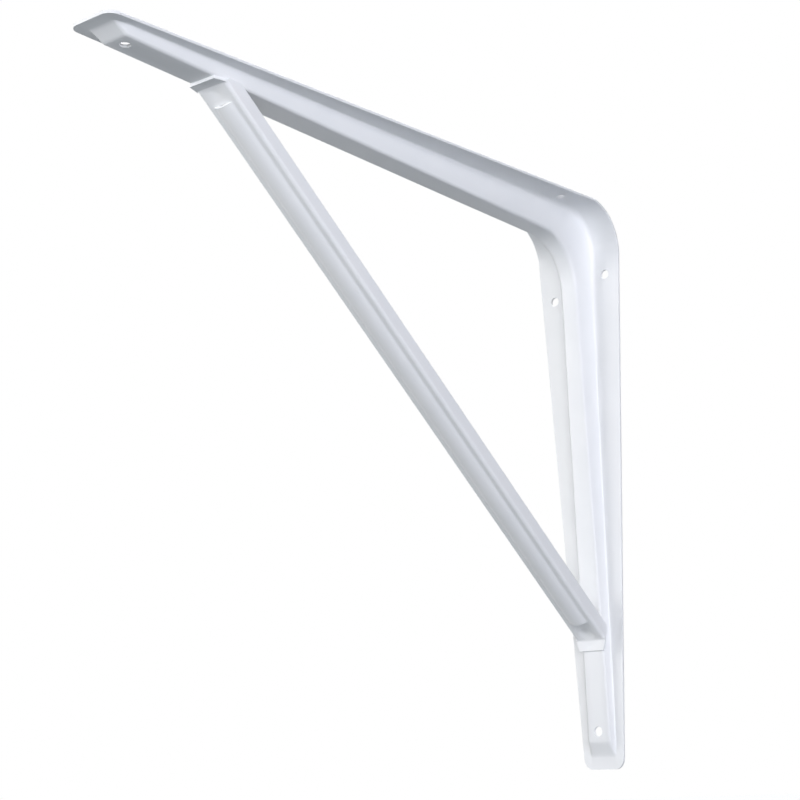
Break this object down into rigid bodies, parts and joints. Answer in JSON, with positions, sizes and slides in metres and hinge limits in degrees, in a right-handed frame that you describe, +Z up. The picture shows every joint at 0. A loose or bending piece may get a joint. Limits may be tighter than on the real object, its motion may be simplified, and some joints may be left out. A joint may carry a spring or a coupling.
{
  "type": "shelf bracket",
  "caption": "Pressed steel L-shaped shelf bracket with a tapering hat-section arm and a beaded channel brace welded across the corner, white coated.",
  "frame": {"origin": "corner where the wall plane, the shelf's underside and the bracket's middle plane meet, just outside the rounded fold", "axes": "+X out from the wall along the shelf arm, +Y across the bracket, +Z up; the wall arm runs down -Z"},
  "size_m": [0.5, 0.0736, 0.425],
  "materials": {
    "white_coat": "smooth satin white powder coat"
  },
  "bodies": {
    "root": {"arm_pressing": "white_coat", "brace_strut": "white_coat"}
  },
  "joints": []
}
